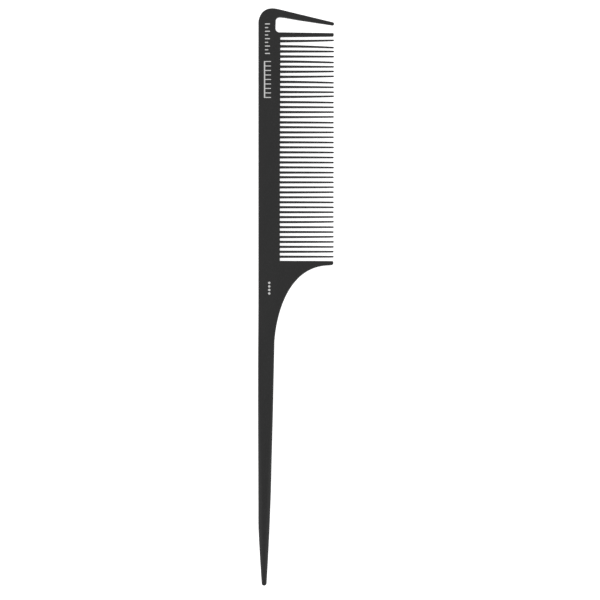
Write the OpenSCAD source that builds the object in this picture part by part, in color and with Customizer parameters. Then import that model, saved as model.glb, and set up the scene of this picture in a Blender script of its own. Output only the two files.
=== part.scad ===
// Rat tail comb, one-piece carbon-filled moulding.
// The comb lies flat on its back: X runs from the spine to the tooth tips,
// Y runs along the comb towards the head, Z is the thickness.
// Origin: centre of the footprint, on the surface the comb lies on.

/* [Body] */
// Overall length, tail point to top of the head
comb_len = 229.2; // [226:0.2:232]
// Overall width, back of the spine to the tip of the sectioning hook
comb_w = 30; // [29.6:0.1:30.4]
// Thickness of the flat spine
spine_t = 3.0; // [2.6:0.1:3.6]
// Width of the spine from its back to the tooth roots
spine_w = 8.5; // [8.4:0.1:8.9]
// Rounding of the long back edges
edge_r = 0.5; // [0.3:0.1:0.8]

/* [Fine teeth] */
// Number of fine teeth
tooth_count = 44; // [40:1:46]
// Plan width of a fine tooth at its root
tooth_root_w = 0.95; // [0.75:0.05:1.05]
// Plan width of a fine tooth at its tip
tooth_tip_w = 0.68; // [0.48:0.02:0.72]
// Distance of the fine tooth tips behind the tip of the hook
tooth_setback = 0.15; // [0.05:0.1:1.05]
// How far the middle of the row is shifted towards the tail by the finer pitch there
row_shift = 0.35; // [0:0.05:0.5]
// Thickness of all the teeth at the tips
tip_t = 1.1; // [0.9:0.1:1.4]

/* [Guard teeth] */
// Thickness in plan of the head guard tooth at its root
guard_root_w = 1.85; // [1.6:0.05:2]
// Thickness in plan of the head guard tooth at its tip
guard_tip_w = 1.45; // [1.2:0.05:1.5]
// Thickness in plan of the heel guard tooth at its nose
heel_nose_w = 1.6; // [1.4:0.1:1.8]

/* [Sectioning hook] */
// Plan width of the hook at its root
hook_root_w = 3.15; // [2.85:0.1:3.45]
// Plan width of the hook at its tip
hook_tip_w = 1.35; // [1.05:0.1:1.55]
// Drop of the hook's outer edge over its length
hook_drop = 5.0; // [4.5:0.1:5.5]

/* [Tail] */
// Width of the tail where it leaves the heel
tail_w = 6.3; // [5.9:0.1:6.7]
// Width of the tail where its back edge starts to turn in
tail_low_w = 4.4; // [4:0.1:4.8]
// Diameter of the rounded tail point in plan
point_w = 1.9; // [1.5:0.05:2.1]
// Thickness of the tail at the point
point_t = 1.6; // [1.3:0.1:2]

/* [Print] */
// Thickness of the printed ink
ink_t = 0.06; // [0.05:0.01:0.1]
// Number of teeth drawn on the comb pictogram
icon_teeth = 9; // [6:1:11]
// Number of ticks in the small graduation
tick_count = 9; // [6:1:11]
// Width of a tick
tick_w = 0.42; // [0.3:0.02:0.5]
// Number of dots in the lower mark
dot_count = 4; // [3:1:5]
// Diameter of a dot
dot_d = 0.94; // [0.7:0.02:1]

/* [Hidden] */

body_grey = "#333333";
ink_white = "#f4f4f2";

x_back = -comb_w / 2;             // back of the spine
x_tip = comb_w / 2;               // tip of the hook
x_root = x_back + spine_w;        // roots of the teeth
y_top = comb_len / 2;             // top of the head
y_point = -comb_len / 2;          // tail point
x_point = x_back + 2.24;          // middle of the tail point
zc = spine_t / 2;                 // parting plane, half way up

y_head = y_top - 11.45;            // spine ends and head block starts
y_heel = y_top - 100.25;           // top edge of the heel guard tooth
y_tail = y_top - 132.4;           // heel ends and tail starts
y_low = y_top - 205.6;            // back edge of the tail starts to turn in
y_tipcut = y_top - 223.1;          // tail ends and its point starts

x_slot = x_back + 6.78;           // blind end of the slot under the hook
slot_r_top = 1.42;
slot_r_low = 1.6;
guard_top = y_head + guard_root_w;
guard_tip_y = y_head + 0.88;      // centre line of the guard tooth at its tip
x_guard_tip = x_tip - 0.1;
x_heel_tip = x_tip - 0.25;
x_fine_tip = x_tip - tooth_setback;

head_top_root = y_top - 0.49;                    // outer edge at the tooth root line
hook_in_root = head_top_root - hook_root_w;      // inner edge at the tooth root line
hook_tip_y = y_top - 0.5 - hook_drop - hook_tip_w / 2;

// first and last fine tooth, so that the end gaps match the gaps between the teeth
pitch = (y_head - y_heel + tooth_root_w) / (tooth_count + 1);
function tooth_y(i) = let (t = (i - 1) / (tooth_count - 1))
    y_head + tooth_root_w / 2 - pitch * i - row_shift * 4 * t * (1 - t);

// ---- curves -------------------------------------------------------------
function mix(a, b, t) = a + (b - a) * t;
function bez(a, b, c, d, n) = [for (i = [0:n]) let (t = i / n, s = 1 - t)
    s*s*s*a + 3*s*s*t*b + 3*s*t*t*c + t*t*t*d];
function arc(c, r, a0, a1, n) = [for (i = [0:n]) let (a = mix(a0, a1, i / n))
    c + r * [cos(a), sin(a)]];

// half thickness of the comb at a distance x across it
function half_t(x) = x < x_root ? spine_t / 2
    : mix(spine_t / 2, tip_t / 2, (x - x_root) / (x_tip - x_root));

// tail edges at a height y
function tail_right(y) = y > y_low
    ? mix(x_back + tail_w, x_back + tail_low_w, pow((y_tail - y) / (y_tail - y_low), 1.25))
    : mix(x_back + tail_low_w, x_point + point_w / 2, (y_low - y) / (y_low - y_point - point_w / 2));
function tail_left(y) = y > y_low ? x_back
    : mix(x_back, x_point - point_w / 2, (y_low - y) / (y_low - y_point - point_w / 2));
function tail_half_t(y) = mix(spine_t / 2, point_t / 2, (y_tail - y) / (y_tail - y_point));

// ---- building blocks ----------------------------------------------------
// cross-section of the moulding: rounded back edges, flat faces, tapering teeth
module section() {
    polygon(concat(
        arc([x_back + edge_r, spine_t - edge_r], edge_r, 180, 90, 5),
        [[x_root, spine_t], [x_tip + 1, zc + half_t(x_tip + 1)],
         [x_tip + 1, zc - half_t(x_tip + 1)], [x_root, 0]],
        arc([x_back + edge_r, edge_r], edge_r, 270, 180, 5)));
}

// a plan outline given the moulding's cross-section, from y0 to y1
module moulded(outline, y0, y1) {
    intersection() {
        translate([0, 0, -1]) linear_extrude(spine_t + 2) polygon(outline);
        translate([0, y1 + 1, 0]) rotate([90, 0, 0])
            linear_extrude(y1 - y0 + 2) section();
    }
}

// closed skin over a list of rings with the same number of points,
// each ring running clockwise when seen from the end of the list
module loft(rings) {
    n = len(rings[0]);
    m = len(rings);
    polyhedron(
        points = [for (r = rings) for (p = r) p],
        faces = concat(
            [[for (i = [0:n-1]) i]],
            [for (j = [0:m-2]) for (i = [0:n-1])
                [j*n + i, (j+1)*n + i, (j+1)*n + (i+1) % n, j*n + (i+1) % n]],
            [[for (i = [n-1:-1:0]) (m-1)*n + i]]));
}

// rounded rectangle ring in the plane at height y, from x0 to x1, half thickness h
function ring(y, x0, x1, h, r) = concat(
    [for (p = arc([x1 - r, zc + h - r], r, 0, 90, 4)) [p[0], y, p[1]]],
    [for (p = arc([x0 + r, zc + h - r], r, 90, 180, 4)) [p[0], y, p[1]]],
    [for (p = arc([x0 + r, zc - h + r], r, 180, 270, 4)) [p[0], y, p[1]]],
    [for (p = arc([x1 - r, zc - h + r], r, 270, 360, 4)) [p[0], y, p[1]]]);

// plan outline of a straight tooth with a rounded tip
function tooth_outline(xr, yr, wr, xt, yt, wt) = concat(
    [[xr, yr + wr/2], [xr, yr - wr/2]],
    arc([xt - wt/2, yt], wt/2, -90, 90, 8));

// ---- sub-parts ----------------------------------------------------------
// flat back that carries the teeth
module spine() color(body_grey)
    moulded([[x_back, y_heel], [x_root, y_heel], [x_root, y_head], [x_back, y_head]],
            y_heel, y_head);

// outline of the head block at a level where its outer edge is set in by d
function head_ring(z, d) = let (
    a = [x_back + 7.7, y_top - 0.34], b = [x_back + 1.2, y_top + 1.33],
    c = [x_back, y_top - 4.2], e = [x_back, y_top - 5.6])
    concat(
        [[x_back + d, y_head, z], [x_root, y_head, z],
         [x_root, head_top_root - d * 1.03, z]],
        [for (i = [0:14]) let (t = i / 14, s = 1 - t,
            p = s*s*s*a + 3*s*s*t*b + 3*s*t*t*c + t*t*t*e,
            v = s*s*(b - a) + 2*s*t*(c - b) + t*t*(e - c),
            q = p - d * [v[1], -v[0]] / norm(v)) [q[0], q[1], z]]);

// rounded head block with the blind end of the slot
module head() color(body_grey)
    difference() {
        loft(concat(
            [for (a = [0:18:90]) head_ring(edge_r * (1 - cos(a)), edge_r * (1 - sin(a)))],
            [for (a = [90:-18:0]) head_ring(spine_t - edge_r * (1 - cos(a)), edge_r * (1 - sin(a)))]));
        translate([0, 0, -1]) linear_extrude(spine_t + 2) polygon(concat(
            [[x_root + 1, guard_top]],
            [[x_root + 1, hook_in_root - 0.04 / (x_root - x_slot - slot_r_top)],
             [x_slot + slot_r_top, hook_in_root + 0.04]],
            arc([x_slot + slot_r_top, hook_in_root + 0.04 - slot_r_top], slot_r_top, 100, 180, 6),
            arc([x_slot + slot_r_low, guard_top + slot_r_low], slot_r_low, 180, 270, 6)));
    }

// slanting tooth that parts off a section of hair
function hook_out(x) = mix(head_top_root, hook_tip_y + hook_tip_w/2,
                           (x - x_root) / (x_tip - hook_tip_w/2 - x_root));
function hook_in(x) = mix(hook_in_root, hook_tip_y - hook_tip_w/2,
                          (x - x_root) / (x_tip - hook_tip_w/2 - x_root));
// ring across the hook at x, edges rounded by ro outside and ri inside
function hook_ring(x, y0, y1, h, ri, ro) = concat(
    [for (p = arc([y0 + ri, zc + h - ri], ri, 180, 90, 3)) [x, p[0], p[1]]],
    [for (p = arc([y1 - ro, zc + h - ro], ro, 90, 0, 5)) [x, p[0], p[1]]],
    [for (p = arc([y1 - ro, zc - h + ro], ro, 0, -90, 5)) [x, p[0], p[1]]],
    [for (p = arc([y0 + ri, zc - h + ri], ri, 270, 180, 3)) [x, p[0], p[1]]]);
module sectioning_hook() color(body_grey) {
    xe = x_tip - hook_tip_w/2;
    ye = hook_tip_y;
    // from the tip back to the root
    loft(concat(
        [hook_ring(x_tip, ye - 0.2, ye, half_t(x_tip) * 0.4, 0.05, 0.05)],
        [for (a = [72:-18:18]) let (x = xe + hook_tip_w/2 * sin(a), c = cos(a), w = hook_tip_w/2 * c)
            hook_ring(x, ye - w - 0.1 * sin(a), ye + w - 0.1 * sin(a), half_t(x) * (0.4 + 0.6 * c),
                      0.3 * c, 0.3 * c)],
        [for (i = [6:-1:0]) let (x = mix(x_root, xe, i / 6))
            hook_ring(x, hook_in(x), hook_out(x), half_t(x), mix(0.12, 0.3, i / 6),
                      mix(edge_r, 0.3, i / 6))]));
}

// thick end tooth at the head
module head_guard_tooth() color(body_grey)
    moulded(tooth_outline(x_root, (y_head + guard_top) / 2, guard_root_w,
                          x_guard_tip, guard_tip_y, guard_tip_w),
            y_head, guard_top);

// the row of equal fine teeth
module fine_teeth() color(body_grey)
    for (i = [1:tooth_count])
        let (y = tooth_y(i))
            moulded(tooth_outline(x_root, y, tooth_root_w, x_fine_tip, y, tooth_tip_w),
                    y - 1, y + 1);

// flared heel: the last thick tooth and the concave sweep down to the tail
module heel() color(body_grey)
    moulded(concat(
        [[x_back, y_tail], [x_back, y_heel]],
        arc([x_heel_tip - heel_nose_w/2, y_heel - heel_nose_w/2 - 0.1], heel_nose_w/2, 85, -85, 8),
        bez([x_heel_tip - 2.7, y_heel - heel_nose_w - 0.27], [x_back + 9.7, y_heel - heel_nose_w - 1.35],
            [x_back + tail_w + 0.4, y_tail + 6.1], [x_back + tail_w, y_tail], 24)),
        y_tail, y_heel);

// long tapering handle
module tail() color(body_grey)
    loft([for (y = concat([for (i = [0:8]) mix(y_tail, y_low, i / 8)],
                          [for (i = [1:4]) mix(y_low, y_tipcut, i / 4)]))
        ring(y, tail_left(y), tail_right(y), tail_half_t(y),
             mix(edge_r, 0.55, (y_tail - y) / (y_tail - y_tipcut)))]);

// rounded point of the tail
module tail_tip() color(body_grey) {
    yc = y_point + point_w / 2;
    m = x_point;
    loft(concat(
        [for (i = [0:2]) let (y = mix(y_tipcut, yc + 0.3, i / 2))
            ring(y, tail_left(y), tail_right(y), tail_half_t(y), mix(0.55, 0.62, i / 2))],
        [for (a = [15:15:75]) let (y = yc - point_w/2 * sin(a), c = cos(a))
            ring(y, m - point_w/2 * c, m + point_w/2 * c, point_t/2 * c, 0.62 * c)],
        [ring(y_point, m - 0.1, m + 0.1, 0.1, 0.09)]));
}

// ---- print on the front face -------------------------------------------
module ink(x, y, w, h) translate([x, y, spine_t]) cube([w, h, ink_t]);

// small comb pictogram
module print_comb_icon() color(ink_white) {
    w = 2.8;
    h = 14.6;
    translate([x_back + 2.2, y_top - 35.7, spine_t]) linear_extrude(ink_t) union() {
        square([0.5, h]);
        for (i = [0:icon_teeth-1])
            translate([0.4, i * (h - 0.36) / (icon_teeth - 1)]) square([w - 0.4, 0.36]);
    }
}

// short row of graduation ticks
module print_graduation() color(ink_white)
    for (i = [0:tick_count-1])
        ink(x_back + 2.6, y_top - 18.3 + i * 11.7 / (tick_count - 1),
            i % 2 == 0 ? 2.0 : 1.3, tick_w);

// row of dots on the heel
module print_dots() color(ink_white)
    for (i = [0:dot_count-1])
        translate([x_back + 4.3, y_top - 113.2 + i * 4.2 / (dot_count - 1), spine_t])
            cylinder(h = ink_t, d = dot_d, $fn = 32);

spine();
head();
sectioning_hook();
head_guard_tooth();
fine_teeth();
heel();
tail();
tail_tip();
print_comb_icon();
print_graduation();
print_dots();
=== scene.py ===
import math

import bmesh
import bpy
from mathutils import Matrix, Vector
from mathutils.geometry import delaunay_2d_cdt


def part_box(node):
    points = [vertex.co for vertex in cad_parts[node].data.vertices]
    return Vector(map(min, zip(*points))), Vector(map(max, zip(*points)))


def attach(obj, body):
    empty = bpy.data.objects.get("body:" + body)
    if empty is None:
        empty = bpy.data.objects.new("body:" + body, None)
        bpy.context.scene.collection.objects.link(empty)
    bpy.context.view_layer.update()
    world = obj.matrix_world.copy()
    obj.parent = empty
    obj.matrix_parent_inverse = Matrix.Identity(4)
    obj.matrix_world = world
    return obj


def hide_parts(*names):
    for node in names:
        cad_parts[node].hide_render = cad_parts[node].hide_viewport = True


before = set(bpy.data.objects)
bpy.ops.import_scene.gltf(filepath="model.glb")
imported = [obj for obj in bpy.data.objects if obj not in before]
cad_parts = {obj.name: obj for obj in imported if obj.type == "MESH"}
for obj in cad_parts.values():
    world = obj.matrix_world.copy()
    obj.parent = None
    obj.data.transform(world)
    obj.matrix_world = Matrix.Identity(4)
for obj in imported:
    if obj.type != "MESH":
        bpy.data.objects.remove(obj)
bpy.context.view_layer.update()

MM = 0.001

# ------------------------------------------------------------------ places, from the frame
def mm_box(node):
    lo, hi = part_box(node)
    return [c / MM for c in lo], [c / MM for c in hi]

sp_lo, sp_hi = mm_box("spine")
hd_lo, hd_hi = mm_box("head")
hk_lo, hk_hi = mm_box("sectioning_hook")
gd_lo, gd_hi = mm_box("head_guard_tooth")
ft_lo, ft_hi = mm_box("fine_teeth")
he_lo, he_hi = mm_box("heel")
ta_lo, ta_hi = mm_box("tail")
tt_lo, tt_hi = mm_box("tail_tip")

X_BACK = sp_lo[0]
X_ROOT = sp_hi[0]
X_TIP = hk_hi[0]
Y_TOP = tt_lo[1] + 229.2
Y_HEAD = sp_hi[1]
Y_HEEL = sp_lo[1]
Y_TAIL = he_lo[1]
Y_POINT = tt_lo[1]
Y_TIPCUT = ta_lo[1]
Y_LOW = Y_TOP - 205.6
X_POINT = X_BACK + 2.24
POINT_R = 0.97
T = sp_hi[2]
ZC = T / 2
TIP_T = 1.1
N_TEETH = 44


def mix(a, b, t):
    return a + (b - a) * t


def smooth(t):
    t = max(0.0, min(1.0, t))
    return t * t * (3 - 2 * t)


def half_t(x, y):
    """Half the moulding's thickness at a place in plan."""
    if y < Y_TAIL:
        return mix(ZC, 0.8, (Y_TAIL - y) / (Y_TAIL - Y_POINT))
    k = (ZC - TIP_T / 2) / (X_TIP - X_ROOT)
    d = x - X_ROOT
    w = 1.6                                    # the taper starts softly
    if d <= -w:
        return ZC
    if d >= w:
        return ZC - k * d
    return ZC - k * (d + w) ** 2 / (4 * w)


# ------------------------------------------------------------------ the plan outline
# Every point is (x, y, inset, drop): how far the rounded edge reaches in over the face and down the side.
EDGE = 0.5
pts = []


def add(x, y, a, b):
    if pts and math.hypot(pts[-1][0] - x, pts[-1][1] - y) < 1e-4:
        return
    pts.append((x, y, a, b))


def line(x0, y0, x1, y1, n, e0, e1, skip_last=True):
    for i in range(n if skip_last else n + 1):
        t = i / n
        add(mix(x0, x1, t), mix(y0, y1, t), mix(e0[0], e1[0], t), mix(e0[1], e1[1], t))


def arc(cx, cy, r, a0, a1, n, e0, e1):
    for i in range(n + 1):
        t = i / n
        a = math.radians(mix(a0, a1, t))
        add(cx + r * math.cos(a), cy + r * math.sin(a), mix(e0[0], e1[0], t), mix(e0[1], e1[1], t))


def bezier(p0, p1, p2, p3, n, e0, e1):
    for i in range(n + 1):
        t = i / n
        s = 1 - t
        q = [s**3 * p0[k] + 3 * s * s * t * p1[k] + 3 * s * t * t * p2[k] + t**3 * p3[k] for k in (0, 1)]
        add(q[0], q[1], mix(e0[0], e1[0], t), mix(e0[1], e1[1], t))


def tail_right(y):
    d = Y_TAIL - y
    if y > Y_LOW:
        full = 0.05 * (1 - smooth(d / 9)) + 0.03 * smooth((d - 15) / 15) + 0.09 * math.exp(-((d - 59) / 9) ** 2)
        return mix(X_BACK + 6.3, X_BACK + 4.4, max(0.0, d / (Y_TAIL - Y_LOW)) ** 1.25) + full
    t = (Y_LOW - y) / (Y_LOW - Y_POINT - POINT_R)
    return mix(X_BACK + 4.438, X_POINT + POINT_R + 0.03, t) + 0.04 * math.sin(math.pi * t)


def back_x(y):
    """The back edge runs straight, with a slight fullness where the hand holds it."""
    d = Y_TAIL - y
    return X_BACK - 0.04 - 0.14 * smooth((d + 17.8) / 30) * smooth((78.2 - d) / 60)


def tail_left(y):
    if y > Y_LOW:
        return back_x(y)
    t = (Y_LOW - y) / (Y_LOW - Y_POINT - POINT_R)
    return mix(back_x(Y_LOW), X_POINT - POINT_R, t) - 0.07 * math.sin(math.pi * t)


def root_x(y):
    """The line of the gullet floors leans a little off the back, towards the head."""
    return X_ROOT + 0.2 * max(0.0, min(1.0, (y - Y_HEAD + 56) / 56))


def tail_edge(y):
    """The tail turns from flat-faced to nearly round towards its point."""
    s = smooth((Y_TAIL - y) / (Y_TAIL - Y_POINT - 4))
    w = (tail_right(y) - tail_left(y)) / 2
    h = half_t(X_BACK, y)
    return mix(EDGE, 0.86 * w, s), mix(EDGE, 0.86 * h, s)


def outline():
    # down the back of the spine and the heel
    y0 = Y_TOP - 5.6
    n = 46
    for i in range(n):
        y = mix(y0, Y_TAIL, i / n)
        add(back_x(y), y, EDGE, EDGE)
    # down the back of the tail
    n = 44
    for i in range(n + 1):
        y = mix(Y_TAIL, Y_POINT + POINT_R, i / n)
        add(tail_left(y), y, *tail_edge(y))
    e = tail_edge(Y_POINT + POINT_R)
    arc(X_POINT + 0.01, Y_POINT + POINT_R, POINT_R + 0.015, 192, 348, 12, e, e)
    for i in range(n + 1):
        y = mix(Y_POINT + POINT_R, Y_TAIL, i / n)
        add(tail_right(y), y, *tail_edge(y))
    # concave sweep of the heel out to its nose
    nose_x = X_TIP - 0.25
    bezier((X_BACK + 6.35, Y_TAIL), (X_BACK + 6.7, Y_TAIL + 6.1),
           (X_BACK + 9.7, Y_HEEL - 2.95), (nose_x - 2.7, Y_HEEL - 1.87), 44, (EDGE, EDGE), (0.38, 0.32))
    arc(nose_x - 0.95, Y_HEEL - 0.82, 0.95, -79, 0, 8, (0.38, 0.32), (0.34, 0.3))
    arc(nose_x - 0.45, Y_HEEL - 0.55, 0.45, 0, 86, 6, (0.34, 0.3), (0.34, 0.3))
    line(nose_x - 0.9, Y_HEEL - 0.085, X_ROOT + 15, Y_HEEL - 0.03, 5, (0.36, 0.32), (0.36, 0.34))
    line(X_ROOT + 15, Y_HEEL - 0.03, X_ROOT + 0.3, Y_HEEL, 11, (0.36, 0.34), (0.3, 0.45))
    # gullets and teeth, from the heel to the head
    pitch = (Y_HEAD - Y_HEEL + 0.92) / (N_TEETH + 1)
    fr = 0.14
    g_edge = (0.22, 0.34)
    # how far a tooth's tip leans out of true, in mm towards the head: most are straight
    lean = {1: 0.3, 2: -0.5, 4: -0.05, 5: -0.35, 6: -0.05, 7: 0.15, 8: 0.22, 9: -0.34, 10: -0.12, 11: -0.06,
            12: 0.27, 13: -0.19, 14: -0.06, 16: 0.1, 17: -0.13, 18: -0.12, 20: 0.02, 21: -0.11, 22: -0.04,
            23: -0.08, 24: -0.08, 25: -0.07, 26: -0.09, 27: -0.03, 30: 0.05, 31: 0.09, 32: 0.04, 33: -0.06,
            34: -0.04, 36: 0.09, 37: 0.13, 40: 0.12, 42: -0.02, 43: 0.04}
    # and how far a few teeth sit out of the even row
    seat = {12: 0.08, 17: -0.09, 19: -0.05, 25: -0.03, 27: -0.08, 28: 0.04, 31: -0.03, 38: -0.04, 40: -0.03}
    prev_top = Y_HEEL
    for i in range(N_TEETH, 0, -1):
        t = (i - 1) / (N_TEETH - 1)
        yc = Y_HEAD + 0.46 - pitch * i - 0.35 * 4 * t * (1 - t) - mix(0.04, -0.1, t)
        if i > 1:
            yc -= 0.07 * smooth((16 - i) / 4)
        yc += seat.get(i, 0)
        w0 = 0.475
        x_t = X_TIP + 0.04 - mix(0.02, 0.14, t) - 0.07 * math.sin(i * 2.3) ** 2
        w1 = 0.34
        tip = 0.24                                 # the ends are blunter than a half circle
        dy = lean.get(i, 0.02 * math.sin(i * 1.7))
        # gullet floor below this tooth, with its two small corner radii
        rx = root_x(yc - 1)
        arc(rx + fr, prev_top + fr, fr, 270, 180, 4, (0.26, 0.45), g_edge)
        arc(rx + fr, yc - w0 - fr, fr, 180, 90, 4, g_edge, (0.26, 0.45))
        n = 11
        def side(u):
            x = mix(X_ROOT + fr, x_t - tip, u)
            w = mix(w0, w1, u ** 1.12)
            return x, w, yc + dy * u * u, mix(0.7 * w0, 0.195, u), 0.44 * half_t(x, yc)
        for k in range(1, n + 1):
            x, w, y, a, b = side(k / n)
            add(x, y - w, a, b)
        a, b = side(1)[3:]
        for k in range(9):
            th = math.radians(mix(-66, 66, k / 8))
            add(x_t - tip + tip * math.cos(th), yc + dy + w1 * math.sin(th), a, b)
        for k in range(n, 0, -1):
            x, w, y, a, b = side(k / n)
            add(x, y + w, a, b)
        prev_top = yc + w0
    rx = root_x(Y_HEAD)
    arc(rx + fr, prev_top + fr, fr, 270, 180, 4, (0.26, 0.45), g_edge)
    # head guard tooth, with a larger fillet under its root
    gf = 0.34
    arc(rx + gf, Y_HEAD - gf, gf, 180, 90, 6, g_edge, (0.34, 0.5))
    gx = gd_hi[0]
    gy = Y_HEAD + 0.88
    gc = 0.4
    line(rx + gf, Y_HEAD, gx - 0.62, gy - 0.72, 12, (0.34, 0.45), (0.3, 0.28))
    arc(gx - 0.55, gy - 0.72 + 0.55, 0.55, -86, 0, 7, (0.3, 0.28), (0.3, 0.28))
    arc(gx - gc, gy + 0.76 - gc, gc, 0, 88, 6, (0.3, 0.28), (0.3, 0.28))
    line(gx - gc - 0.1, gy + 0.762, X_BACK + 6.78 + 1.6, Y_HEAD + 1.83, 13, (0.3, 0.28), (0.36, 0.4))
    # blind end of the slot
    arc(X_BACK + 8.38, Y_HEAD + 1.83 + 1.6, 1.6, 270, 180, 9, (0.38, 0.4), (0.4, 0.4))
    arc(X_BACK + 8.3, Y_TOP - 3.59 - 1.42, 1.42, 180, 90, 10, (0.4, 0.4), (0.4, 0.4))
    # the hook
    ht = 0.70
    hx = X_TIP - ht + 0.05
    hy = Y_TOP - 6.18
    bezier((X_BACK + 8.3, Y_TOP - 3.59), (X_BACK + 9.7, Y_TOP - 3.55),
           (X_BACK + 11.4, Y_TOP - 4.02), (X_BACK + 15.5, Y_TOP - 4.72), 9, (0.4, 0.4), (0.38, 0.38))
    line(X_BACK + 15.5, Y_TOP - 4.72, hx - 0.09, hy - ht + 0.01, 10, (0.38, 0.38), (0.3, 0.26))
    arc(hx, hy, ht, -98, 70, 12, (0.3, 0.26), (0.3, 0.28))
    line(hx + 0.16, hy + ht - 0.03, X_BACK + 7.7, Y_TOP - 0.34, 14, (0.3, 0.28), (EDGE, EDGE))
    bezier((X_BACK + 7.7, Y_TOP - 0.34), (X_BACK + 1.2, Y_TOP + 1.22),
           (X_BACK - 0.04, Y_TOP - 4.2), (X_BACK - 0.04, Y_TOP - 5.6), 30, (EDGE, EDGE), (EDGE, EDGE))


outline()
while math.hypot(pts[-1][0] - pts[0][0], pts[-1][1] - pts[0][1]) < 1e-3:
    pts.pop()
NP = len(pts)

# outward normals, and edge sizes evened out along the outline
nrm = []
for i in range(NP):
    ax, ay = pts[i - 1][:2]
    bx, by = pts[i][:2]
    cx, cy = pts[(i + 1) % NP][:2]
    u = Vector((bx - ax, by - ay)).normalized()
    v = Vector((cx - bx, cy - by)).normalized()
    t = (u + v).normalized()
    nrm.append((t.y, -t.x, 1.0 / max(0.6, math.sqrt(max(0.0, (1 + u.dot(v)) / 2)))))
sizes = [(p[2], p[3]) for p in pts]
for _ in range(3):
    sizes = [tuple(0.25 * sizes[i - 1][k] + 0.5 * sizes[i][k] + 0.25 * sizes[(i + 1) % NP][k] for k in (0, 1))
             for i in range(NP)]

# rings from the parting line up to the face: (share of inset, share of drop, wear and painted sheen)
ARC = 6
levels = [("part", 0.0)] + [("side", 0.0)] + [("arc", k / ARC) for k in range(ARC + 1)] + [("flat", 0.0)]


def ring_point(i, kind, s):
    x, y = pts[i][:2]
    nx, ny, m = nrm[i]
    a, b = sizes[i]
    h = half_t(x, y)
    b = min(b, 0.8 * h)
    draft = 0.03 * min(1.0, a / 0.3)
    # the parting line, sides and rounded edges carry wear, which lowers the roughness, and a painted sheen, which
    # lightens the colour; on the arcs it peaks halfway round the edge
    if kind == "part":
        d, z, wear_and_sheen = -0.018, 0.0, 0.5
    elif kind == "side":
        d, z, wear_and_sheen = 0.0, 0.05, 0.25
    elif kind == "arc":
        th = math.radians(90 * s)
        d = draft + (a - draft) * (1 - math.cos(th))
        z = h - b + b * math.sin(th)
        wear_and_sheen = math.sin(2 * th) ** 0.7 if 0 < s < 1 else 0.0
    else:
        d, z, wear_and_sheen = a * 1.08 + 0.01, h, 0.0
    px, py = x - nx * m * d, y - ny * m * d
    if kind in ("arc", "flat"):
        z += (half_t(px, py) - h)
    if Y_HEEL + 0.3 < y < Y_HEAD - 0.3:            # hair polishes the fine teeth all over, and a painted sheen lightens them all over
        wear_and_sheen = max(wear_and_sheen, 0.8 * smooth((x - X_ROOT - 0.2) / 2))
    return px, py, z, wear_and_sheen


bm = bmesh.new()
wear_and_sheen_l = bm.verts.layers.float.new("wear_and_sheen")


def ring(kind, s, sign):
    out = []
    for i in range(NP):
        x, y, z, w = ring_point(i, kind, s)
        v = bm.verts.new((x * MM, y * MM, (ZC + sign * z) * MM))
        v[wear_and_sheen_l] = w
        out.append(v)
    return out


def band(lo, hi):
    for i in range(NP):
        j = (i + 1) % NP
        bm.faces.new((lo[i], lo[j], hi[j], hi[i]))


part = ring("part", 0, 1)
top = [part] + [ring(k, s, 1) for k, s in levels[1:]]
bot = [part] + [ring(k, s, -1) for k, s in levels[1:]]
for a, b in zip(top, top[1:]):
    band(a, b)
for a, b in zip(bot, bot[1:]):
    band(b, a)

# the two faces, filled over an even set of inner points
edge2d = [(v.co.x / MM, v.co.y / MM) for v in top[-1]]


def inside(x, y, poly):
    c = False
    j = len(poly) - 1
    for i in range(len(poly)):
        xi, yi = poly[i]
        xj, yj = poly[j]
        if (yi > y) != (yj > y) and x < (xj - xi) * (y - yi) / (yj - yi) + xi:
            c = not c
        j = i
    return c


inner = []
yy = Y_POINT + 4
row = 0
while yy < Y_TOP - 1:
    xx = X_BACK + 1.3 + (0.6 if row % 2 else 0)
    while xx < X_TIP:
        if (xx < X_ROOT + 0.1 or yy < Y_HEEL - 1.0) and inside(xx, yy, edge2d):
            if min((xx - q[0]) ** 2 + (yy - q[1]) ** 2 for q in edge2d) > 0.45 ** 2:
                inner.append((xx, yy))
        xx += 1.25
    yy += 1.9
    row += 1

co2 = [Vector(p) for p in edge2d + inner]
res = delaunay_2d_cdt(co2, [], [list(range(NP))], 1, 1e-6)
vout, fout, orig = res[0], res[2], res[3]
for sign, edge_ring in ((1, top[-1]), (-1, bot[-1])):
    vs = []
    for k, v in enumerate(vout):
        src = [o for o in orig[k] if o < NP]
        if src:
            vs.append(edge_ring[src[0]])
        else:
            w = bm.verts.new((v.x * MM, v.y * MM, (ZC + sign * half_t(v.x, v.y)) * MM))
            w[wear_and_sheen_l] = 0.0
            vs.append(w)
    for f in fout:
        loop = [vs[k] for k in f]
        if sign < 0:
            loop.reverse()
        if len(set(loop)) == 3:
            bm.faces.new(loop)

bad = [e for e in bm.edges if len(e.link_faces) != 2]
print("outline points", NP, "verts", len(bm.verts), "faces", len(bm.faces), "open edges", len(bad))
for f in bm.faces:
    f.smooth = True

# ------------------------------------------------------------------ materials
def nodes_of(mat):
    mat.use_nodes = True
    nt = mat.node_tree
    nt.nodes.clear()
    return nt


def node(nt, kind, **props):
    n = nt.nodes.new(kind)
    for k, v in props.items():
        if k == "inputs":
            for name, val in v.items():
                n.inputs[name].default_value = val
        else:
            setattr(n, k, v)
    return n


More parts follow.
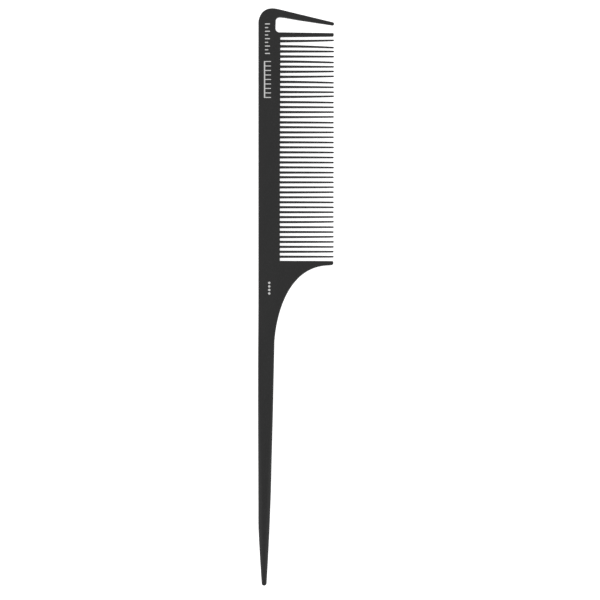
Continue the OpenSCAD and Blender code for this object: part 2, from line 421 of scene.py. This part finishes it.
def body_material():
    mat = bpy.data.materials.new("comb_body")
    nt = nodes_of(mat)
    L = nt.links.new
    out = node(nt, "ShaderNodeOutputMaterial")
    bsdf = node(nt, "ShaderNodeBsdfPrincipled")
    L(bsdf.outputs[0], out.inputs[0])
    bsdf.inputs["IOR"].default_value = 1.45
    bsdf.inputs["Specular IOR Level"].default_value = 0.25
    tc = node(nt, "ShaderNodeTexCoord")
    wear_and_sheen = node(nt, "ShaderNodeAttribute", attribute_type="GEOMETRY", attribute_name="wear_and_sheen")

    # chopped fibre: fine streaks that follow the flow of the moulding along the comb
    m1 = node(nt, "ShaderNodeMapping", inputs={"Scale": (9000.0, 900.0, 9000.0)})
    L(tc.outputs["Object"], m1.inputs["Vector"])
    n1 = node(nt, "ShaderNodeTexNoise", inputs={"Scale": 1.0, "Detail": 2.0, "Roughness": 0.55, "Distortion": 0.4})
    L(m1.outputs[0], n1.inputs["Vector"])
    r1 = node(nt, "ShaderNodeMapRange", inputs={"From Min": 0.56, "From Max": 0.78, "To Min": 0.0, "To Max": 1.0})
    L(n1.outputs["Fac"], r1.inputs["Value"])
    # slow mottling of the flow
    m2 = node(nt, "ShaderNodeMapping", inputs={"Scale": (170.0, 55.0, 170.0)})
    L(tc.outputs["Object"], m2.inputs["Vector"])
    n2 = node(nt, "ShaderNodeTexNoise", inputs={"Scale": 1.0, "Detail": 4.0, "Roughness": 0.6, "Distortion": 1.1})
    L(m2.outputs[0], n2.inputs["Vector"])
    # spark-eroded grain of the mould
    n3 = node(nt, "ShaderNodeTexNoise", inputs={"Scale": 9500.0, "Detail": 3.0, "Roughness": 0.6})
    L(tc.outputs["Object"], n3.inputs["Vector"])
    # fine handling scratches, a few long thin lines
    m4 = node(nt, "ShaderNodeMapping", inputs={"Rotation": (0.0, 0.0, 0.5), "Scale": (2600.0, 60.0, 400.0)})
    L(tc.outputs["Object"], m4.inputs["Vector"])
    n4 = node(nt, "ShaderNodeTexNoise", inputs={"Scale": 1.0, "Detail": 1.0, "Roughness": 0.4, "Distortion": 0.2})
    L(m4.outputs[0], n4.inputs["Vector"])
    r4 = node(nt, "ShaderNodeMapRange", inputs={"From Min": 0.7, "From Max": 0.78, "To Min": 0.0, "To Max": 1.0})
    L(n4.outputs["Fac"], r4.inputs["Value"])

    base = node(nt, "ShaderNodeMix", data_type="RGBA")
    base.inputs[6].default_value = (0.0270, 0.0270, 0.0270, 1)
    base.inputs[7].default_value = (0.0388, 0.0387, 0.0386, 1)
    L(n2.outputs["Fac"], base.inputs[0])
    fib = node(nt, "ShaderNodeMix", data_type="RGBA")
    L(r1.outputs[0], fib.inputs[0])
    L(base.outputs[2], fib.inputs[6])
    fib.inputs[7].default_value = (0.056, 0.056, 0.0562, 1)
    # painted sheen over real wear: the colour is lightened on the rounded edges, the parting line and the fine
    # teeth
    edge_sheen_and_wear = node(nt, "ShaderNodeMix", data_type="RGBA")
    ef = node(nt, "ShaderNodeMath", operation="MULTIPLY")
    L(wear_and_sheen.outputs["Fac"], ef.inputs[0])
    ef.inputs[1].default_value = 0.28
    L(ef.outputs[0], edge_sheen_and_wear.inputs[0])
    L(fib.outputs[2], edge_sheen_and_wear.inputs[6])
    edge_sheen_and_wear.inputs[7].default_value = (0.064, 0.064, 0.0642, 1)
    # painted shade in the grain's pits and painted highlight on its peaks: the colour darkens and lightens with the
    # grain's height
    gr = node(nt, "ShaderNodeMapRange", inputs={"From Min": 0.32, "From Max": 0.68, "To Min": 0.84, "To Max": 1.16})
    L(n3.outputs["Fac"], gr.inputs["Value"])
    tint = node(nt, "ShaderNodeVectorMath", operation="SCALE")
    L(edge_sheen_and_wear.outputs[2], tint.inputs[0])
    L(gr.outputs[0], tint.inputs["Scale"])
    L(tint.outputs[0], bsdf.inputs["Base Color"])

    # roughness: matt faces, edges polished by use, grain and scratches
    ro = node(nt, "ShaderNodeMapRange", inputs={"From Min": 0.3, "From Max": 0.7, "To Min": 0.50, "To Max": 0.60})
    L(n2.outputs["Fac"], ro.inputs["Value"])
    we = node(nt, "ShaderNodeMath", operation="MULTIPLY_ADD")
    L(wear_and_sheen.outputs["Fac"], we.inputs[0])
    we.inputs[1].default_value = -0.12
    L(ro.outputs[0], we.inputs[2])
    fr = node(nt, "ShaderNodeMath", operation="MULTIPLY_ADD")
    L(r1.outputs[0], fr.inputs[0])
    fr.inputs[1].default_value = -0.10
    L(we.outputs[0], fr.inputs[2])
    sc = node(nt, "ShaderNodeMath", operation="MULTIPLY_ADD", use_clamp=True)
    L(r4.outputs[0], sc.inputs[0])
    sc.inputs[1].default_value = -0.10
    L(fr.outputs[0], sc.inputs[2])
    L(sc.outputs[0], bsdf.inputs["Roughness"])

    hgt = node(nt, "ShaderNodeMath", operation="MULTIPLY_ADD")
    L(r1.outputs[0], hgt.inputs[0])
    hgt.inputs[1].default_value = 0.35
    L(n3.outputs["Fac"], hgt.inputs[2])
    hg2 = node(nt, "ShaderNodeMath", operation="MULTIPLY_ADD")
    L(r4.outputs[0], hg2.inputs[0])
    hg2.inputs[1].default_value = -0.5
    L(hgt.outputs[0], hg2.inputs[2])
    bump = node(nt, "ShaderNodeBump", inputs={"Strength": 0.5, "Distance": 0.000012})
    L(hg2.outputs[0], bump.inputs["Height"])
    L(bump.outputs[0], bsdf.inputs["Normal"])
    return mat


def ink_material():
    mat = bpy.data.materials.new("print_ink")
    nt = nodes_of(mat)
    L = nt.links.new
    out = node(nt, "ShaderNodeOutputMaterial")
    bsdf = node(nt, "ShaderNodeBsdfPrincipled")
    L(bsdf.outputs[0], out.inputs[0])
    tc = node(nt, "ShaderNodeTexCoord")
    n1 = node(nt, "ShaderNodeTexNoise", inputs={"Scale": 5200.0, "Detail": 3.0, "Roughness": 0.6})
    L(tc.outputs["Object"], n1.inputs["Vector"])
    r1 = node(nt, "ShaderNodeMapRange", inputs={"From Min": 0.66, "From Max": 0.74, "To Min": 0.0, "To Max": 0.55})
    L(n1.outputs["Fac"], r1.inputs["Value"])
    n2 = node(nt, "ShaderNodeTexNoise", inputs={"Scale": 700.0, "Detail": 2.0})
    L(tc.outputs["Object"], n2.inputs["Vector"])
    base = node(nt, "ShaderNodeMix", data_type="RGBA")
    base.inputs[6].default_value = (0.90, 0.90, 0.89, 1)
    base.inputs[7].default_value = (0.80, 0.80, 0.79, 1)
    L(n2.outputs["Fac"], base.inputs[0])
    pin = node(nt, "ShaderNodeMix", data_type="RGBA")
    L(r1.outputs[0], pin.inputs[0])
    L(base.outputs[2], pin.inputs[6])
    pin.inputs[7].default_value = (0.35, 0.35, 0.35, 1)
    L(pin.outputs[2], bsdf.inputs["Base Color"])
    ro = node(nt, "ShaderNodeMapRange", inputs={"From Min": 0.3, "From Max": 0.7, "To Min": 0.36, "To Max": 0.5})
    L(n1.outputs["Fac"], ro.inputs["Value"])
    L(ro.outputs[0], bsdf.inputs["Roughness"])
    bump = node(nt, "ShaderNodeBump", inputs={"Strength": 0.4, "Distance": 0.00001})
    L(n1.outputs["Fac"], bump.inputs["Height"])
    L(bump.outputs[0], bsdf.inputs["Normal"])
    return mat


body_mat = body_material()
ink_mat = ink_material()


def piece(name, bmm, mat, slot, *replaced):
    me = bpy.data.meshes.new(name)
    bmm.to_mesh(me)
    bmm.free()
    ob = bpy.data.objects.new(name, me)
    bpy.context.scene.collection.objects.link(ob)
    me.materials.append(mat)
    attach(ob, "root")
    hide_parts(*replaced)
    return ob


# ------------------------------------------------------------------ the moulding, divided where its parts meet
X_CUT = X_ROOT + 0.62
Y_CUT1 = Y_HEAD - 0.34
Y_CUT2 = Y_HEEL + 0.34


def cut(name, node_name, planes, keep=None):
    """A closed part of the moulding: planes are (axis, place, side), side +1 keeps what lies above."""
    b = bm.copy()
    for ax, place, side in planes:
        co = [0, 0, 0]
        no = [0, 0, 0]
        co[ax] = place * MM
        no[ax] = 1.0
        geom = b.verts[:] + b.edges[:] + b.faces[:]
        bmesh.ops.bisect_plane(b, geom=geom, dist=1e-8, plane_co=co, plane_no=no,
                               clear_outer=side < 0, clear_inner=side > 0)
        open_e = [e for e in b.edges if len(e.link_faces) == 1]
        before = set(b.faces)
        bmesh.ops.holes_fill(b, edges=open_e, sides=0)
        for f in b.faces:
            if f not in before:
                f.smooth = False
                for e in f.edges:
                    e.smooth = False
    if keep:
        seen = set()
        groups = []
        for v in b.verts:
            if v in seen:
                continue
            stack = [v]
            seen.add(v)
            grp = []
            while stack:
                q = stack.pop()
                grp.append(q)
                for e in q.link_edges:
                    o = e.other_vert(q)
                    if o not in seen:
                        seen.add(o)
                        stack.append(o)
            groups.append(grp)
        drop = [v for g in groups if not keep(sum(q.co.y for q in g) / len(g) / MM) for v in g]
        bmesh.ops.delete(b, geom=drop, context="VERTS")
    bmesh.ops.dissolve_degenerate(b, dist=2e-8, edges=b.edges[:])
    caps = [f for f in b.faces if len(f.verts) > 4]
    bmesh.ops.triangulate(b, faces=caps)
    bmesh.ops.recalc_face_normals(b, faces=b.faces[:])
    n_open = sum(1 for e in b.edges if len(e.link_faces) != 2)
    print(name, len(b.faces), "open", n_open)
    return piece(name, b, body_mat, "comb_body", node_name)


cut("spine", "spine", [(1, Y_CUT1, -1), (1, Y_CUT2, 1), (0, X_CUT, -1)])
cut("head", "head", [(1, Y_CUT1, 1), (0, X_CUT, -1)])
cut("sectioning_hook", "sectioning_hook", [(1, Y_CUT1, 1), (0, X_CUT, 1)], lambda y: y > Y_HEAD + 3)
cut("head_guard_tooth", "head_guard_tooth", [(1, Y_CUT1, 1), (0, X_CUT, 1)], lambda y: y < Y_HEAD + 3)
cut("fine_teeth", "fine_teeth", [(1, Y_CUT1, -1), (1, Y_CUT2, 1), (0, X_CUT, 1)])
cut("heel", "heel", [(1, Y_CUT2, -1), (1, Y_TAIL, 1)])
cut("tail", "tail", [(1, Y_TAIL, -1), (1, Y_TIPCUT, 1)])
cut("tail_tip", "tail_tip", [(1, Y_TIPCUT, -1)])
bm.free()

# ------------------------------------------------------------------ print on the front face
INK = 0.05


def film(b, loop):
    """A thin printed film: a flat outline with a soft rounded rim, loop in mm, counter-clockwise."""
    n = len(loop)
    cx = sum(p[0] for p in loop) / n
    cy = sum(p[1] for p in loop) / n
    rings = []
    norm = []
    for i in range(n):
        ax, ay = loop[i - 1]
        bx, by = loop[i]
        gx, gy = loop[(i + 1) % n]
        t = (Vector((bx - ax, by - ay)).normalized() + Vector((gx - bx, gy - by)).normalized()).normalized()
        norm.append((t.y, -t.x))
    for d, z in ((0.0, -0.004), (0.0, INK * 0.45), (0.012, INK * 0.82), (0.035, INK)):
        rings.append([b.verts.new(((p[0] - q[0] * d) * MM, (p[1] - q[1] * d) * MM, (T + z) * MM))
                      for p, q in zip(loop, norm)])
    for lo, hi in zip(rings, rings[1:]):
        for i in range(n):
            j = (i + 1) % n
            b.faces.new((lo[i], lo[j], hi[j], hi[i]))
    for r, flip in ((rings[-1], False), (rings[0], True)):
        tri = delaunay_2d_cdt([Vector((v.co.x / MM, v.co.y / MM)) for v in r], [], [list(range(n))], 1, 1e-7)
        for f in tri[2]:
            q = [r[tri[3][k][0]] for k in f]
            if flip:
                q.reverse()
            b.faces.new(q)


def rounded(x0, y0, x1, y1, r, n=4):
    out = []
    for cx, cy, a0 in ((x1 - r, y0 + r, -90), (x1 - r, y1 - r, 0), (x0 + r, y1 - r, 90), (x0 + r, y0 + r, 180)):
        for k in range(n + 1):
            a = math.radians(a0 + 90 * k / n)
            out.append((cx + r * math.cos(a), cy + r * math.sin(a)))
    return out


def comb_icon():
    b = bmesh.new()
    lo, hi = mm_box("print_comb_icon")
    x0, y0, x1, y1 = lo[0], lo[1], hi[0], hi[1]
    n = 9
    w = 0.36
    bar = 0.5
    r = 0.13
    loop = [(x0 + r, y0)]
    def corner(cx, cy, rr, a0, a1):
        for k in range(5):
            a = math.radians(mix(a0, a1, k / 4))
            loop.append((cx + rr * math.cos(a), cy + rr * math.sin(a)))
    loop.clear()
    corner(x0 + r, y0 + r, r, 180, 270)
    step = (y1 - y0 - w) / (n - 1)
    for i in range(n):
        ya = y0 + i * step
        corner(x1 - r, ya + r, r, -90, 0)
        corner(x1 - r, ya + w - r, r, 0, 90)
        if i < n - 1:
            corner(x0 + bar + 0.12, ya + w + 0.12, 0.12, 270, 180)
            corner(x0 + bar + 0.12, ya + step - 0.12, 0.12, 180, 90)
    corner(x0 + r, y1 - r, r, 90, 180)
    film(b, loop)
    return b


def graduation():
    b = bmesh.new()
    lo, hi = mm_box("print_graduation")
    n = 9
    for i in range(n):
        y = mix(lo[1], hi[1] - 0.42, i / (n - 1))
        film(b, rounded(lo[0], y, lo[0] + (2.0 if i % 2 == 0 else 1.3), y + 0.42, 0.12))
    return b


def dots():
    b = bmesh.new()
    lo, hi = mm_box("print_dots")
    r = 0.47
    n = 4
    for i in range(n):
        y = mix(lo[1] + r, hi[1] - r, i / (n - 1))
        film(b, [(lo[0] + r + r * math.cos(2 * math.pi * k / 24), y + r * math.sin(2 * math.pi * k / 24))
                 for k in range(24)])
    return b


for nm, fn in (("print_comb_icon", comb_icon), ("print_graduation", graduation), ("print_dots", dots)):
    b = fn()
    for f in b.faces:
        f.smooth = len(f.verts) == 4
    print(nm, len(b.faces), "open", sum(1 for e in b.edges if len(e.link_faces) != 2))
    piece(nm, b, ink_mat, "print_ink", nm)

# ------------------------------------------------------------------ floor, world, lights, camera
fb = bmesh.new()
R = 6.0
N = 24
gv = [[fb.verts.new((mix(-R, R, i / N), mix(-R, R, j / N), 0.0)) for j in range(N + 1)] for i in range(N + 1)]
for i in range(N):
    for j in range(N):
        fb.faces.new((gv[i][j], gv[i + 1][j], gv[i + 1][j + 1], gv[i][j + 1]))
fm = bpy.data.meshes.new("floor")
fb.to_mesh(fm)
fb.free()
floor = bpy.data.objects.new("floor", fm)
bpy.context.scene.collection.objects.link(floor)
mat = bpy.data.materials.new("floor")
nt = nodes_of(mat)
out = node(nt, "ShaderNodeOutputMaterial")
bs = node(nt, "ShaderNodeBsdfPrincipled")
bs.inputs["Base Color"].default_value = (0.86, 0.86, 0.86, 1)
bs.inputs["Roughness"].default_value = 0.9
bs.inputs["Specular IOR Level"].default_value = 0.1
bs.inputs["Emission Color"].default_value = (1, 1, 1, 1)
bs.inputs["Emission Strength"].default_value = 0.93
nt.links.new(bs.outputs[0], out.inputs[0])
fm.materials.append(mat)

scene = bpy.context.scene
world = bpy.data.worlds.new("studio")
scene.world = world
world.use_nodes = True
nt = world.node_tree
nt.nodes.clear()
wo = node(nt, "ShaderNodeOutputWorld")
bg = node(nt, "ShaderNodeBackground")
tc = node(nt, "ShaderNodeTexCoord")
sep = node(nt, "ShaderNodeSeparateXYZ")
nt.links.new(tc.outputs["Generated"], sep.inputs[0])
mr = node(nt, "ShaderNodeMapRange", interpolation_type="SMOOTHSTEP",
          inputs={"From Min": 0.02, "From Max": 0.2, "To Min": 1.02, "To Max": 0.5})
nt.links.new(sep.outputs["Z"], mr.inputs["Value"])
nt.links.new(mr.outputs[0], bg.inputs["Strength"])
bg.inputs["Color"].default_value = (1, 1, 1, 1)
nt.links.new(bg.outputs[0], wo.inputs[0])


def area(name, loc, size, power, target=(0, 0, 0)):
    d = bpy.data.lights.new(name, "AREA")
    d.shape = "RECTANGLE"
    d.size, d.size_y = size
    d.energy = power
    o = bpy.data.objects.new(name, d)
    scene.collection.objects.link(o)
    o.location = loc
    o.rotation_euler = (Vector(target) - Vector(loc)).to_track_quat("-Z", "Y").to_euler()
    return o


area("key", (-0.6, 0.2, 0.75), (0.6, 0.9), 1.6)
area("fill", (0.7, -0.1, 0.7), (0.6, 0.9), 0.8)

cam_d = bpy.data.cameras.new("camera")
cam_d.lens = 120
cam_d.sensor_width = 36
cam_d.clip_start = 0.01
cam_d.clip_end = 50
cam = bpy.data.objects.new("camera", cam_d)
scene.collection.objects.link(cam)
cam.location = (0.001489, -0.001191, 0.794 + 0.0015)
cam.rotation_euler = (0, 0, 0)
scene.camera = cam
scene.view_settings.view_transform = "Standard"
scene.view_settings.look = "None"
